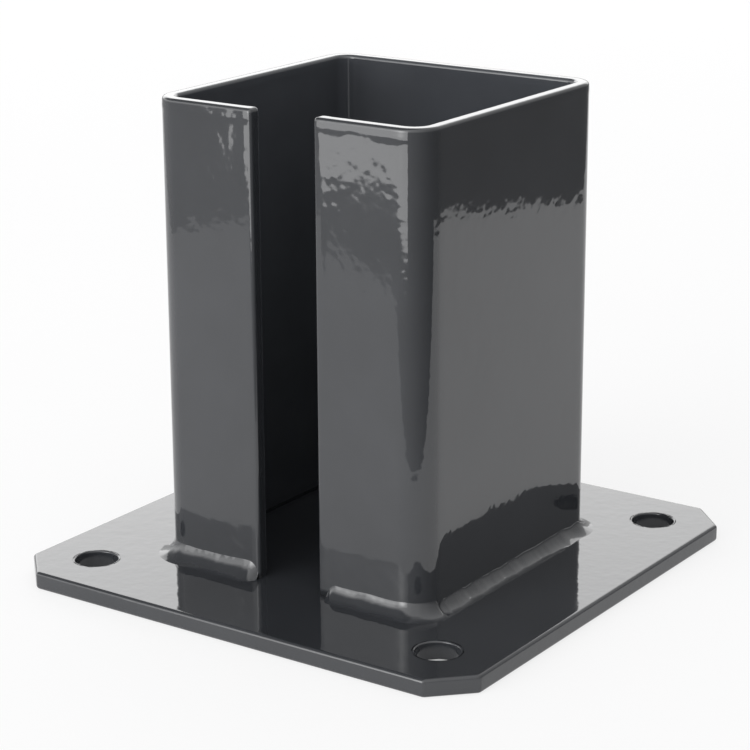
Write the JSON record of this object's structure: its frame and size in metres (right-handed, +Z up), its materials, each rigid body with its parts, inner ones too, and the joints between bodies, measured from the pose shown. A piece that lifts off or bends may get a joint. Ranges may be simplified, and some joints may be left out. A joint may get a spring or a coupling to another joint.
{
  "type": "u bracket",
  "caption": "Bolt-down post shoe: a folded square U channel with a slotted front, fillet welded upright on a square base plate with clipped corners and bolt holes, grey powder coat.",
  "frame": {"origin": "centre of the base plate's underside", "axes": "+Z up, out of the socket's open top; -Y out of the slotted front; +X to the right as seen from the front"},
  "size_m": [0.15, 0.15, 0.136],
  "materials": {
    "powder_coat": "gloss"
  },
  "bodies": {
    "root": {"base_plate": "powder_coat", "u_channel": "powder_coat", "weld_left": "powder_coat", "weld_right": "powder_coat", "weld_back": "powder_coat", "weld_front_left": "powder_coat", "weld_front_right": "powder_coat"}
  },
  "joints": []
}
